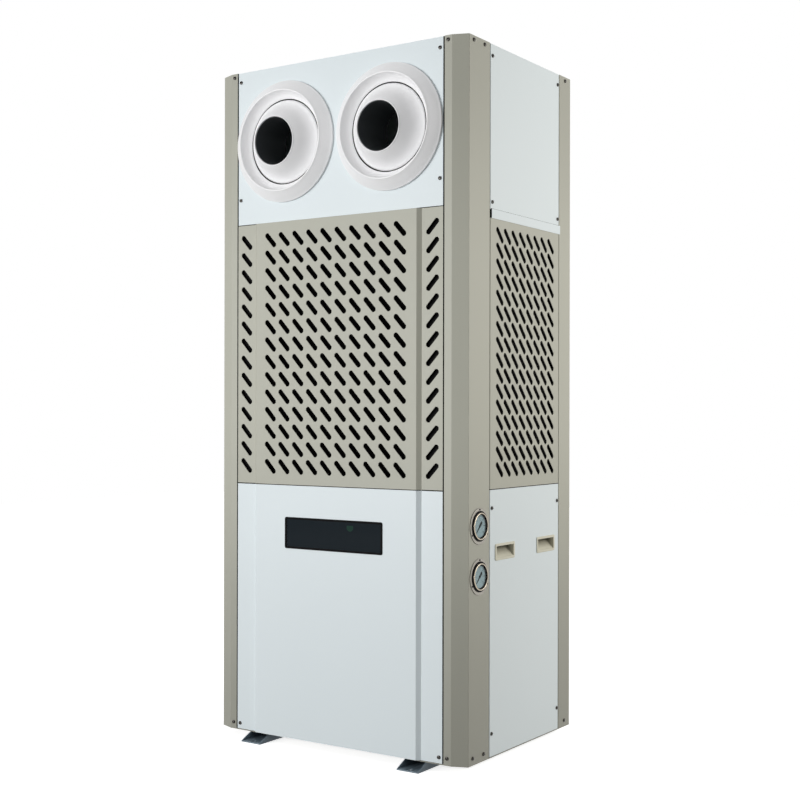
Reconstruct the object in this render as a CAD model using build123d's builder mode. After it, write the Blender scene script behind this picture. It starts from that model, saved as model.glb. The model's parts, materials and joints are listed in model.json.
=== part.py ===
from build123d import *
from math import acos, asin, cos, degrees, radians, sin, sqrt
import os

os.makedirs("parts", exist_ok=True)

# Floor-standing cabinet air conditioner with two ball jet outlets, all sizes in millimetres.
# X runs to the right, Y to the back and Z up. The origin is on the floor under the cabinet's centre.

# Cabinet
width = 784.0
depth = 556.0
height = 1800.0
upper_storey = 416.0
lower_storey = 668.0
sheet = 1.5
plate = 2.0
bend_radius = 2.0
roof_inset = 10.0

# Folded corner posts
bevel_width = 40.0
bevel_depth = 16.0
front_flange = 22.0
side_flange = 100.0
rear_flange = 66.0
rebate = 15.0
lip = 25.0

# Raised centre of the grille and the lower front panel
raise_height = 9.5
raise_slant = 10.0
side_strip = 62.0

# Runners and floor bolts
runner_height = 20.0
runner_width = 64.0
runner_wall = 3.0
runner_inset = 142.0
runner_reach = 37.0
runner_slant = 38.0
bolt_hole = 12.0
bolt_inset = 14.0

# Intake slots
slot_length = 48.0
slot_width = 14.0
slot_angle = 47.0
slot_nose = 4.1
front_slot_pitch_x = 46.0
front_slot_pitch_z = 46.2
front_slot_margin = 26.0
side_slot_pitch_y = 39.2
side_slot_pitch_z = 39.3
side_slot_margin = 20.0

# Lapped strip at the foot of the upper side panels
strip_height = 21.0
strip_shift = 5.0

# Ball jet nozzles
nozzle_spacing = 332.0
nozzle_drop = 205.0
ball_radius = 121.0
ball_setback = 52.0
ball_clearance = 0.5
nozzle_wall = 3.0
throat_radius = 62.5
throat_land = 8.0
jet_tilt = 3.0
sleeve_wall = 2.5
sleeve_length = 122.0
rim_gap = 1.7
bowl_width = 21.5
bowl_sag = 3.0
cone_width = 27.5
bead_height = 28.0
bead_width = 4.5
bead_crown = 0.8
flange_edge = 4.5
seat_wrap = 10.0
collar_start = 6.0
hole_clearance = 2.0

# Display window
window_width = 309.0
window_height = 80.0
window_drop = 85.0
window_border = 4.0
window_proud = 1.2
lens_thickness = 3.0
lens_ledge = 4.0
fit_clearance = 0.25

# Pressure gauges
gauge_flange_radius = 45.0
gauge_case_radius = 34.0
gauge_collar_radius = 36.5
gauge_collar = 4.0
gauge_bezel_radius = 33.0
gauge_proud = 7.0
gauge_depth = 28.0
gauge_hole = 4.4
gauge_hole_circle = 81.5
dial_radius = 28.0
dial_level = 1.5
dial_thickness = 1.0
glass_level = 3.8
glass_thickness = 2.0
needle_length = 22.0
needle_tail = 14.0
needle_width = 2.6
needle_thickness = 0.6
needle_hub = 3.0
needle_angle = 225.0
gauge_drop = 87.0
gauge_spacing = 124.0

# Recessed pull handles
handle_length = 100.0
handle_height = 42.0
handle_drop = 158.0
handle_inset = 75.0
handle_rim = 5.0
handle_proud = 2.0
handle_pocket = 22.0
handle_wall = 1.5

# Filter screens behind the grilles
filter_thickness = 6.0

# Planes and lines that the pieces share: the panels stand clear of the posts' bent corners
panel_gap = bend_radius
front_y = -depth / 2
rear_y = depth / 2
side_x = width / 2
base_z = runner_height + plate
roof_z = height - plate
post_height = roof_z - base_z
lip_depth = rebate + sheet
upper_line = height - upper_storey
lower_line = runner_height + lower_storey
bevel_x = side_x - bevel_width
side_start_y = front_y + bevel_depth
front_opening_x = bevel_x - front_flange
side_front_y = side_start_y + side_flange
side_rear_y = rear_y - rear_flange
rear_opening_x = side_x - rear_flange
front_pan_x = front_opening_x - panel_gap
rear_pan_x = rear_opening_x - panel_gap
side_pan_front = side_front_y + panel_gap
side_pan_rear = side_rear_y - panel_gap
side_pan_centre = (side_pan_front + side_pan_rear) / 2

# Storeys: bottom and height of the panels in each
lower_z = base_z + panel_gap / 2
lower_height = lower_line - panel_gap / 2 - lower_z
grille_z = lower_line + panel_gap / 2
grille_height = upper_line - panel_gap / 2 - grille_z
upper_z = upper_line + panel_gap / 2
upper_height = roof_z - panel_gap / 2 - upper_z
grille_middle = grille_z + grille_height / 2

# Places of the fittings, all measured down from the lower storey's top or in from the sides
gauge_y = side_start_y + side_flange / 2
upper_gauge_z = lower_line - gauge_drop
lower_gauge_z = upper_gauge_z - gauge_spacing
window_z = lower_line - window_drop - window_height / 2
handle_z = lower_line - handle_drop
handle_front_y = side_pan_front + handle_inset
handle_rear_y = side_pan_rear - handle_inset
runner_x = side_x - runner_inset

# Corner posts: sheet folded to a front flange, a bevel, a side flange and two rebate lips. A cap closes the
# top, outside the lips.
with BuildPart() as front_left_post:
    with BuildSketch(Plane.XY.offset(base_z)):
        with BuildLine():
            front_fold = FilletPolyline(
                (-front_opening_x + lip, front_y + rebate),
                (-front_opening_x, front_y + rebate),
                (-front_opening_x, front_y),
                (-bevel_x, front_y),
                (-side_x, side_start_y),
                (-side_x, side_front_y),
                (-side_x + rebate, side_front_y),
                (-side_x + rebate, side_front_y + lip),
                radius=bend_radius,
            )
            offset(front_fold, amount=sheet, side=Side.RIGHT)
        make_face()
    extrude(amount=post_height)
    with BuildSketch(Plane.XY.offset(roof_z)):
        with BuildLine():
            add(front_fold)
            Line(front_fold @ 1, front_fold @ 0)
        make_face()
        Rectangle(width - 2 * lip_depth, depth - 2 * lip_depth, mode=Mode.SUBTRACT)
    extrude(amount=-sheet)
front_left_post.part.label = "front_left_post"
export_step(front_left_post.part, "parts/front_left_post.step")

with BuildPart() as front_right_post:
    mirror(front_left_post.part, about=Plane.YZ)
    with BuildSketch(Plane.YZ.offset(side_x)):
        with Locations((gauge_y, upper_gauge_z), (gauge_y, lower_gauge_z)):
            Circle(gauge_case_radius + fit_clearance)
    extrude(amount=-rebate, mode=Mode.SUBTRACT)
front_right_post.part.label = "front_right_post"
export_step(front_right_post.part, "parts/front_right_post.step")

with BuildPart() as rear_right_post:
    with BuildSketch(Plane.XY.offset(base_z)):
        with BuildLine():
            rear_fold = FilletPolyline(
                (side_x - rebate, side_rear_y - lip),
                (side_x - rebate, side_rear_y),
                (side_x, side_rear_y),
                (side_x, rear_y),
                (rear_opening_x, rear_y),
                (rear_opening_x, rear_y - rebate),
                (rear_opening_x - lip, rear_y - rebate),
                radius=bend_radius,
            )
            offset(rear_fold, amount=sheet, side=Side.LEFT)
        make_face()
    extrude(amount=post_height)
    with BuildSketch(Plane.XY.offset(roof_z)):
        with BuildLine():
            add(rear_fold)
            Line(rear_fold @ 1, rear_fold @ 0)
        make_face()
        Rectangle(width - 2 * lip_depth, depth - 2 * lip_depth, mode=Mode.SUBTRACT)
    extrude(amount=-sheet)
rear_right_post.part.label = "rear_right_post"
export_step(rear_right_post.part, "parts/rear_right_post.step")

with BuildPart() as rear_left_post:
    mirror(rear_right_post.part, about=Plane.YZ)
rear_left_post.part.label = "rear_left_post"
export_step(rear_left_post.part, "parts/rear_left_post.step")

# Base tray and roof cover: plates of the cabinet's outline, with a skirt that stands inside the lips.
# The roof's plate lies in from the edges of the posts and panels.
with BuildSketch() as outline:
    with BuildLine():
        Polyline(
            (-bevel_x, front_y),
            (bevel_x, front_y),
            (side_x, side_start_y),
            (side_x, rear_y),
            (-side_x, rear_y),
            (-side_x, side_start_y),
            close=True,
        )
    make_face()

skirt_inset = lip_depth + fit_clearance
with BuildSketch() as skirt:
    Rectangle(width - 2 * skirt_inset, depth - 2 * skirt_inset)
    offset(amount=-sheet, mode=Mode.SUBTRACT)

with BuildPart() as base_tray:
    with BuildSketch(Plane.XY.offset(runner_height)):
        add(outline.sketch)
    extrude(amount=plate)
    with BuildSketch(Plane.XY.offset(base_z)):
        add(skirt.sketch)
    extrude(amount=rebate)
base_tray.part.label = "base_tray"
export_step(base_tray.part, "parts/base_tray.step")

with BuildPart() as roof_cover:
    with BuildSketch(Plane.XY.offset(roof_z)):
        add(outline.sketch)
        offset(amount=-roof_inset, mode=Mode.REPLACE)
    extrude(amount=plate)
    with BuildSketch(Plane.XY.offset(roof_z)):
        add(skirt.sketch)
    extrude(amount=-rebate)
roof_cover.part.label = "roof_cover"
export_step(roof_cover.part, "parts/roof_cover.step")

# Runners: steel channels under the base, with slanted leg ends and a bolt hole at each end
runner_end = rear_y + runner_reach
with BuildPart() as right_runner:
    with BuildSketch(Plane.XZ):
        with BuildLine():
            channel = Polyline(
                (runner_x - runner_width / 2, runner_height),
                (runner_x - runner_width / 2, 0),
                (runner_x + runner_width / 2, 0),
                (runner_x + runner_width / 2, runner_height),
            )
            offset(channel, amount=runner_wall, side=Side.LEFT)
        make_face()
    extrude(amount=runner_end, both=True)
    with BuildSketch(Plane.YZ.offset(runner_x)) as leg_end:
        with BuildLine():
            Polyline(
                (runner_end, runner_wall),
                (runner_end, runner_height),
                (runner_end - runner_slant, runner_height),
                close=True,
            )
        make_face()
        mirror(about=Plane.YZ)
    extrude(amount=runner_width, both=True, mode=Mode.SUBTRACT)
    with Locations((runner_x, runner_end - bolt_inset), (runner_x, bolt_inset - runner_end)):
        Hole(bolt_hole / 2)
right_runner.part.label = "right_runner"
export_step(right_runner.part, "parts/right_runner.step")

with BuildPart() as left_runner:
    mirror(right_runner.part, about=Plane.YZ)
left_runner.part.label = "left_runner"
export_step(left_runner.part, "parts/left_runner.step")

# Plan profiles of the panels: pans as deep as the rebates, with bent front corners
with BuildSketch() as flat_front:
    with Locations((0, front_y + rebate / 2)):
        Rectangle(2 * front_pan_x, rebate)
    fillet(flat_front.vertices().group_by(Axis.Y)[0], bend_radius)

raise_foot_x = front_pan_x - side_strip
raise_edge_x = raise_foot_x - raise_slant
raised_y = front_y - raise_height
with BuildSketch() as raised_front:
    with BuildLine():
        Polyline(
            (-front_pan_x, front_y + rebate),
            (-front_pan_x, front_y),
            (-raise_foot_x, front_y),
            (-raise_edge_x, raised_y),
            (raise_edge_x, raised_y),
            (raise_foot_x, front_y),
            (front_pan_x, front_y),
            (front_pan_x, front_y + rebate),
            close=True,
        )
    make_face()
    fillet(raised_front.vertices().group_by(Axis.Y)[0], bend_radius)

with BuildSketch() as flat_side:
    with Locations((side_x - rebate / 2, side_pan_centre)):
        Rectangle(rebate, side_pan_rear - side_pan_front)
    fillet(flat_side.vertices().group_by(Axis.X)[-1], bend_radius)

with BuildSketch() as flat_rear:
    with Locations((0, rear_y - rebate / 2)):
        Rectangle(2 * rear_pan_x, rebate)
    fillet(flat_rear.vertices().group_by(Axis.Y)[-1], bend_radius)

# Front panels
nozzle_x = nozzle_spacing / 2
nozzle_z = height - nozzle_drop
seat_radius = ball_radius + ball_clearance
collar_radius = seat_radius + nozzle_wall
with BuildPart() as front_upper_panel:
    with BuildSketch(Plane.XY.offset(upper_z)):
        add(flat_front.sketch)
    extrude(amount=upper_height)
    offset(amount=-sheet, openings=front_upper_panel.faces().sort_by(Axis.Y)[-1])
    with BuildSketch(Plane.XZ.offset(-front_y)):
        with Locations((-nozzle_x, nozzle_z), (nozzle_x, nozzle_z)):
            Circle(collar_radius + hole_clearance)
    extrude(amount=-rebate / 2, mode=Mode.SUBTRACT)
front_upper_panel.part.label = "front_upper_panel"
export_step(front_upper_panel.part, "parts/front_upper_panel.step")

# Intake slots: as many columns and rows as fit between the margins
strip_slot_x = raise_foot_x + side_strip / 2
slot_span = (slot_length - slot_width) * cos(radians(slot_angle)) + slot_width
slot_rise = (slot_length - slot_width) * sin(radians(slot_angle)) + slot_width
front_field_x = 2 * (raise_edge_x - front_slot_margin) - slot_span
front_field_z = grille_height - 2 * front_slot_margin - slot_rise
front_slot_columns = int(front_field_x // front_slot_pitch_x) + 1
front_slot_rows = int(front_field_z // front_slot_pitch_z) + 1
with BuildPart() as front_grille:
    with BuildSketch(Plane.XY.offset(grille_z)):
        add(raised_front.sketch)
    extrude(amount=grille_height)
    offset(amount=-sheet, openings=front_grille.faces().sort_by(Axis.Y)[-1])
    with BuildSketch(Plane.XZ.offset(-raised_y)) as front_slots:
        with Locations((0, grille_middle)):
            with GridLocations(front_slot_pitch_x, front_slot_pitch_z, front_slot_columns, front_slot_rows):
                Rectangle(slot_length, slot_width, rotation=-slot_angle)
        with Locations((-strip_slot_x, grille_middle)):
            with GridLocations(1, front_slot_pitch_z, 1, front_slot_rows):
                Rectangle(slot_length, slot_width, rotation=-slot_angle)
        with Locations((strip_slot_x, grille_middle)):
            with GridLocations(1, front_slot_pitch_z, 1, front_slot_rows):
                Rectangle(slot_length, slot_width, rotation=slot_angle)
        chamfer(front_slots.vertices(), slot_nose)
    extrude(amount=-(raise_height + rebate), mode=Mode.SUBTRACT)
front_grille.part.label = "front_grille"
export_step(front_grille.part, "parts/front_grille.step")

neck_width = window_width - window_border
neck_height = window_height - window_border
with BuildPart() as front_lower_panel:
    with BuildSketch(Plane.XY.offset(lower_z)):
        add(raised_front.sketch)
    extrude(amount=lower_height)
    offset(amount=-sheet, openings=front_lower_panel.faces().sort_by(Axis.Y)[-1])
    with BuildSketch(Plane.XZ.offset(-raised_y)):
        with Locations((0, window_z)):
            Rectangle(neck_width + 2 * fit_clearance, neck_height + 2 * fit_clearance)
    extrude(amount=-raise_height, mode=Mode.SUBTRACT)
front_lower_panel.part.label = "front_lower_panel"
export_step(front_lower_panel.part, "parts/front_lower_panel.step")

# Side panels: the upper one laps the grille with a joggled strip, the lower one holds two handles
with BuildPart() as right_upper_panel:
    with BuildSketch(Plane.XY.offset(upper_z)):
        add(flat_side.sketch)
    extrude(amount=upper_height)
    offset(amount=-sheet, openings=right_upper_panel.faces().sort_by(Axis.X)[0])
    with BuildSketch(Plane.YZ.offset(side_x)):
        with Locations((side_pan_centre + strip_shift, upper_z + bend_radius)):
            Rectangle(
                side_pan_rear - side_pan_front,
                strip_height + bend_radius,
                align=(Align.CENTER, Align.MAX),
            )
    extrude(amount=sheet)
right_upper_panel.part.label = "right_upper_panel"
export_step(right_upper_panel.part, "parts/right_upper_panel.step")

side_slot_z = grille_middle - strip_height / 4
side_field_y = side_pan_rear - side_pan_front - 2 * side_slot_margin - slot_span
side_field_z = grille_height - strip_height - 2 * side_slot_margin - slot_rise
side_slot_columns = int(side_field_y // side_slot_pitch_y) + 1
side_slot_rows = int(side_field_z // side_slot_pitch_z) + 1
with BuildPart() as right_grille:
    with BuildSketch(Plane.XY.offset(grille_z)):
        add(flat_side.sketch)
    extrude(amount=grille_height)
    offset(amount=-sheet, openings=right_grille.faces().sort_by(Axis.X)[0])
    with BuildSketch(Plane.YZ.offset(side_x)) as side_slots:
        with Locations((side_pan_centre, side_slot_z)):
            with GridLocations(side_slot_pitch_y, side_slot_pitch_z, side_slot_columns, side_slot_rows):
                Rectangle(slot_length, slot_width, rotation=-slot_angle)
        chamfer(side_slots.vertices(), slot_nose)
    extrude(amount=-rebate, mode=Mode.SUBTRACT)
right_grille.part.label = "right_grille"
export_step(right_grille.part, "parts/right_grille.step")

tub_length = handle_length - 2 * handle_rim
tub_height = handle_height - 2 * handle_rim
with BuildPart() as right_lower_panel:
    with BuildSketch(Plane.XY.offset(lower_z)):
        add(flat_side.sketch)
    extrude(amount=lower_height)
    offset(amount=-sheet, openings=right_lower_panel.faces().sort_by(Axis.X)[0])
    with BuildSketch(Plane.YZ.offset(side_x)):
        with Locations((handle_front_y, handle_z), (handle_rear_y, handle_z)):
            Rectangle(tub_length + 2 * fit_clearance, tub_height + 2 * fit_clearance)
    extrude(amount=-rebate / 2, mode=Mode.SUBTRACT)
right_lower_panel.part.label = "right_lower_panel"
export_step(right_lower_panel.part, "parts/right_lower_panel.step")

with BuildPart() as left_upper_panel:
    mirror(right_upper_panel.part, about=Plane.YZ)
left_upper_panel.part.label = "left_upper_panel"
export_step(left_upper_panel.part, "parts/left_upper_panel.step")

with BuildPart() as left_grille:
    mirror(right_grille.part, about=Plane.YZ)
left_grille.part.label = "left_grille"
export_step(left_grille.part, "parts/left_grille.step")

with BuildPart() as left_lower_panel:
    mirror(right_lower_panel.part, about=Plane.YZ)
left_lower_panel.part.label = "left_lower_panel"
export_step(left_lower_panel.part, "parts/left_lower_panel.step")

# Back panels: plain pans in the same storeys
with BuildPart() as back_upper_panel:
    with BuildSketch(Plane.XY.offset(upper_z)):
        add(flat_rear.sketch)
    extrude(amount=upper_height)
    offset(amount=-sheet, openings=back_upper_panel.faces().sort_by(Axis.Y)[0])
back_upper_panel.part.label = "back_upper_panel"
export_step(back_upper_panel.part, "parts/back_upper_panel.step")

with BuildPart() as back_middle_panel:
    with BuildSketch(Plane.XY.offset(grille_z)):
        add(flat_rear.sketch)
    extrude(amount=grille_height)
    offset(amount=-sheet, openings=back_middle_panel.faces().sort_by(Axis.Y)[0])
back_middle_panel.part.label = "back_middle_panel"
export_step(back_middle_panel.part, "parts/back_middle_panel.step")

with BuildPart() as back_lower_panel:
    with BuildSketch(Plane.XY.offset(lower_z)):
        add(flat_rear.sketch)
    extrude(amount=lower_height)
    offset(amount=-sheet, openings=back_lower_panel.faces().sort_by(Axis.Y)[0])
back_lower_panel.part.label = "back_lower_panel"
export_step(back_lower_panel.part, "parts/back_lower_panel.step")

# Filter screens: flat frames held inside the rims of the grilles
filter_rear_y = front_y + rebate
with BuildPart() as front_filter:
    with BuildSketch(Plane.XZ.offset(-filter_rear_y)):
        with Locations((0, grille_middle)):
            Rectangle(
                2 * (front_pan_x - sheet - fit_clearance),
                grille_height - 2 * (sheet + fit_clearance),
            )
    extrude(amount=filter_thickness)
front_filter.part.label = "front_filter"
export_step(front_filter.part, "parts/front_filter.step")

with BuildPart() as right_filter:
    with BuildSketch(Plane.YZ.offset(side_x - rebate)):
        with Locations((side_pan_centre, grille_middle)):
            Rectangle(
                side_pan_rear - side_pan_front - 2 * (sheet + fit_clearance),
                grille_height - 2 * (sheet + fit_clearance),
            )
    extrude(amount=filter_thickness)
right_filter.part.label = "right_filter"
export_step(right_filter.part, "parts/right_filter.step")

with BuildPart() as left_filter:
    mirror(right_filter.part, about=Plane.YZ)
left_filter.part.label = "left_filter"
export_step(left_filter.part, "parts/left_filter.step")

# Nozzle housings, drawn with the radius along X and the depth behind the panel along Y
rim_radius = sqrt(ball_radius**2 - ball_setback**2)
seat_edge_radius = rim_radius + rim_gap
seat_angle = degrees(acos(seat_edge_radius / seat_radius))
bead_radius = seat_edge_radius + bowl_width
flange_radius = bead_radius + cone_width

nozzle_plane = Plane(origin=(nozzle_x, front_y, nozzle_z), x_dir=(1, 0, 0), z_dir=(0, 0, 1))
nozzle_axis = Axis((nozzle_x, front_y, nozzle_z), (0, 1, 0))

with BuildPart() as right_nozzle_housing:
    with BuildSketch(nozzle_plane):
        with BuildLine():
            seat = CenterArc((0, ball_setback), seat_radius, -seat_angle, seat_angle + seat_wrap)
            collar = CenterArc(
                (0, ball_setback), collar_radius, seat_wrap, collar_start - seat_angle - seat_wrap
            )
            bowl_top = (bead_radius - bead_width / 2, -bead_height)
            cone_top = (bead_radius + bead_width / 2, -bead_height)
            SagittaArc(bowl_top, seat @ 0, bowl_sag)
            SagittaArc(cone_top, bowl_top, bead_crown)
            Polyline(
                cone_top,
                (flange_radius, -flange_edge),
                (flange_radius, 0),
                (flange_radius - nozzle_wall, 0),
                (flange_radius - nozzle_wall, -flange_edge / 2),
                (bead_radius + bead_width / 4, nozzle_wall * 2 - bead_height),
                collar @ 1,
            )
            Line(seat @ 1, collar @ 0)
        make_face()
    revolve(axis=nozzle_axis)
right_nozzle_housing.part.label = "right_nozzle_housing"
export_step(right_nozzle_housing.part, "parts/right_nozzle_housing.step")

# Balls: zones of a sphere with a trumpet in front, drawn about the ball's centre and aimed a little down
rim_angle = degrees(acos(rim_radius / ball_radius))
lip_radius = throat_radius + nozzle_wall
lip_y = -sqrt(ball_radius**2 - lip_radius**2)
inner_radius = ball_radius - nozzle_wall
inner_angle = degrees(acos((rim_radius - nozzle_wall) / inner_radius))
bell_angle = degrees(asin((ball_setback - nozzle_wall) / inner_radius))

ball_centre = Plane(
    origin=(nozzle_x, front_y + ball_setback, nozzle_z), x_dir=(1, 0, 0), z_dir=(0, 0, 1)
)
jet_plane = ball_centre.rotated((jet_tilt, 0, 0))
jet_axis = Axis(jet_plane.origin, jet_plane.y_dir)

with BuildPart() as right_nozzle_ball:
    with BuildSketch(jet_plane):
        with BuildLine():
            zone = CenterArc((0, 0), ball_radius, -rim_angle, 2 * rim_angle)
            lining = CenterArc((0, 0), inner_radius, inner_angle, -inner_angle - bell_angle)
            TangentArc((lip_radius, lip_y), zone @ 0, tangent=(0, 1))
            Line(zone @ 1, lining @ 0)
            land_end = (throat_radius, lip_y + throat_land)
            TangentArc(land_end, lining @ 1, tangent=(0, 1))
            Polyline(land_end, (throat_radius, lip_y), (lip_radius, lip_y))
        make_face()
    revolve(axis=jet_axis)
right_nozzle_ball.part.label = "right_nozzle_ball"
export_step(right_nozzle_ball.part, "parts/right_nozzle_ball.step")

sleeve_radius = throat_radius - fit_clearance
sleeve_middle = (sleeve_radius - sleeve_wall / 2, lip_y + nozzle_wall + sleeve_length / 2)
with BuildPart() as right_nozzle_sleeve:
    with BuildSketch(jet_plane):
        with Locations(sleeve_middle):
            Rectangle(sleeve_wall, sleeve_length)
    revolve(axis=jet_axis)
right_nozzle_sleeve.part.label = "right_nozzle_sleeve"
export_step(right_nozzle_sleeve.part, "parts/right_nozzle_sleeve.step")

with BuildPart() as left_nozzle_housing:
    mirror(right_nozzle_housing.part, about=Plane.YZ)
left_nozzle_housing.part.label = "left_nozzle_housing"
export_step(left_nozzle_housing.part, "parts/left_nozzle_housing.step")

with BuildPart() as left_nozzle_ball:
    mirror(right_nozzle_ball.part, about=Plane.YZ)
left_nozzle_ball.part.label = "left_nozzle_ball"
export_step(left_nozzle_ball.part, "parts/left_nozzle_ball.step")

with BuildPart() as left_nozzle_sleeve:
    mirror(right_nozzle_sleeve.part, about=Plane.YZ)
left_nozzle_sleeve.part.label = "left_nozzle_sleeve"
export_step(left_nozzle_sleeve.part, "parts/left_nozzle_sleeve.step")

# Display window: a thin frame round a smoked lens that rests on the frame's inner ledge
lens_width = neck_width - window_border
lens_height = neck_height - window_border
neck_depth = lens_thickness + sheet
with BuildPart() as display_frame:
    with BuildSketch(Plane.XZ.offset(-raised_y)):
        with Locations((0, window_z)):
            RectangleRounded(window_width, window_height, window_border)
    extrude(amount=window_proud)
    with BuildSketch(Plane.XZ.offset(-raised_y)):
        with Locations((0, window_z)):
            Rectangle(neck_width, neck_height)
    extrude(amount=-neck_depth)
    with BuildSketch(Plane.XZ.offset(-raised_y + window_proud)):
        with Locations((0, window_z)):
            Rectangle(lens_width, lens_height)
    extrude(amount=-(window_proud + lens_thickness), mode=Mode.SUBTRACT)
    with BuildSketch(Plane.XZ.offset(-raised_y)):
        with Locations((0, window_z)):
            Rectangle(lens_width - 2 * lens_ledge, lens_height - 2 * lens_ledge)
    extrude(amount=-neck_depth, mode=Mode.SUBTRACT)
display_frame.part.label = "display_frame"
export_step(display_frame.part, "parts/display_frame.step")

with BuildPart() as display_lens:
    with BuildSketch(Plane.XZ.offset(-raised_y - lens_thickness)):
        with Locations((0, window_z)):
            Rectangle(lens_width - 2 * fit_clearance, lens_height - 2 * fit_clearance)
    extrude(amount=lens_thickness)
display_lens.part.label = "display_lens"
export_step(display_lens.part, "parts/display_lens.step")

# Pressure gauges on the right front post: flanged case, dial, needle and glass
for name, gauge_z in (("upper", upper_gauge_z), ("lower", lower_gauge_z)):
    face = Plane(origin=(side_x, gauge_y, gauge_z), x_dir=(0, 1, 0), z_dir=(1, 0, 0))
    section = Plane(origin=(side_x, gauge_y, gauge_z), x_dir=(0, 1, 0), z_dir=(0, 0, 1))
    spindle = Axis((side_x, gauge_y, gauge_z), (1, 0, 0))
    with BuildPart() as gauge_case:
        with BuildSketch(section):
            with BuildLine():
                Polyline(
                    (0, gauge_depth),
                    (gauge_case_radius, gauge_depth),
                    (gauge_case_radius, 0),
                    (gauge_flange_radius, 0),
                    (gauge_flange_radius, -plate),
                    (gauge_collar_radius, -plate),
                    (gauge_collar_radius, -gauge_collar),
                    (gauge_bezel_radius, -gauge_collar),
                    (gauge_bezel_radius, -gauge_proud),
                    (dial_radius + sheet, -gauge_proud),
                    (dial_radius + sheet, -glass_level),
                    (dial_radius, -glass_level),
                    (dial_radius, dial_thickness - dial_level),
                    (0, dial_thickness - dial_level),
                    close=True,
                )
            make_face()
        revolve(axis=spindle)
        with BuildSketch(face):
            with PolarLocations(gauge_hole_circle / 2, 3, start_angle=90):
                Circle(gauge_hole / 2)
        extrude(amount=plate, mode=Mode.SUBTRACT)
    gauge_case.part.label = name + "_gauge_case"
    export_step(gauge_case.part, "parts/" + name + "_gauge_case.step")

    with BuildPart() as gauge_dial:
        with BuildSketch(face.offset(dial_level - dial_thickness)):
            Circle(dial_radius - fit_clearance)
        extrude(amount=dial_thickness)
    gauge_dial.part.label = name + "_gauge_dial"
    export_step(gauge_dial.part, "parts/" + name + "_gauge_dial.step")

    with BuildPart() as gauge_needle:
        with BuildSketch(face.offset(dial_level)):
            Circle(needle_hub)
        extrude(amount=2 * needle_thickness)
        with BuildSketch(face.offset(dial_level + needle_thickness)) as pointer:
            with BuildLine():
                Polyline(
                    (-needle_tail, -needle_width),
                    (needle_length, -needle_width / 6),
                    (needle_length, needle_width / 6),
                    (-needle_tail, needle_width),
                    close=True,
                )
            make_face()
        extrude(pointer.sketch.rotate(spindle, needle_angle), amount=needle_thickness)
    gauge_needle.part.label = name + "_gauge_needle"
    export_step(gauge_needle.part, "parts/" + name + "_gauge_needle.step")

    with BuildPart() as gauge_glass:
        with BuildSketch(face.offset(glass_level)):
            Circle(dial_radius + sheet - fit_clearance)
        extrude(amount=glass_thickness)
    gauge_glass.part.label = name + "_gauge_glass"
    export_step(gauge_glass.part, "parts/" + name + "_gauge_glass.step")

# Pull handles: a rim on the panel round a wedge-shaped finger pocket, deepest at the top
for name, handle_y in (("front", handle_front_y), ("rear", handle_rear_y)):
    rim_plane = Plane(origin=(side_x, handle_y, handle_z), x_dir=(0, 1, 0), z_dir=(1, 0, 0))
    wedge_plane = Plane(origin=(side_x, handle_y, handle_z), x_dir=(1, 0, 0), z_dir=(0, -1, 0))
    with BuildPart() as right_handle:
        with BuildSketch(rim_plane):
            RectangleRounded(handle_length, handle_height, handle_rim)
        extrude(amount=handle_proud)
        with BuildSketch(wedge_plane):
            with BuildLine():
                Polyline(
                    (0, -tub_height / 2),
                    (0, tub_height / 2),
                    (-handle_pocket - handle_wall, tub_height / 2),
                    (-handle_pocket - handle_wall, tub_height / 2 - 2 * handle_wall),
                    (-handle_wall, -tub_height / 2),
                    close=True,
                )
            make_face()
        extrude(amount=tub_length / 2, both=True)
        with BuildSketch(wedge_plane):
            with BuildLine():
                Polyline(
                    (handle_proud, handle_wall - tub_height / 2),
                    (handle_proud, tub_height / 2 - handle_wall),
                    (-handle_pocket, tub_height / 2 - handle_wall),
                    (-handle_pocket, tub_height / 2 - 2 * handle_wall),
                    (0, handle_wall - tub_height / 2),
                    close=True,
                )
            make_face()
        extrude(amount=tub_length / 2 - handle_wall, both=True, mode=Mode.SUBTRACT)
    right_handle.part.label = "right_" + name + "_handle"
    export_step(right_handle.part, "parts/right_" + name + "_handle.step")

    with BuildPart() as left_handle:
        mirror(right_handle.part, about=Plane.YZ)
    left_handle.part.label = "left_" + name + "_handle"
    export_step(left_handle.part, "parts/left_" + name + "_handle.step")
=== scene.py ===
import json
import math

import bpy
from bpy.props import FloatProperty, FloatVectorProperty, IntProperty, PointerProperty
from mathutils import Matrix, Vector


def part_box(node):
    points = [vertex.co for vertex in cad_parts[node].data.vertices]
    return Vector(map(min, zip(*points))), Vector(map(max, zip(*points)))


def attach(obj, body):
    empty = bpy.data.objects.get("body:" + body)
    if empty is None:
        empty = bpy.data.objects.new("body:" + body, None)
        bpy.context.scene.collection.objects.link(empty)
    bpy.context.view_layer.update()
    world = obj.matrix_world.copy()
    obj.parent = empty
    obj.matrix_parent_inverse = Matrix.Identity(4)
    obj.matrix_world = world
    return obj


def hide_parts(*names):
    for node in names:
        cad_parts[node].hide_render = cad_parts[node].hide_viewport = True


bl_info = {
    "name": "Cabinet air conditioner",
    "version": (1, 0, 0),
    "blender": (4, 5, 0),
    "location": "3D View > Sidebar > Air conditioner",
    "description": "Dresses the floor-standing air conditioner and sets its studio",
    "category": "Object",
}

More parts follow.
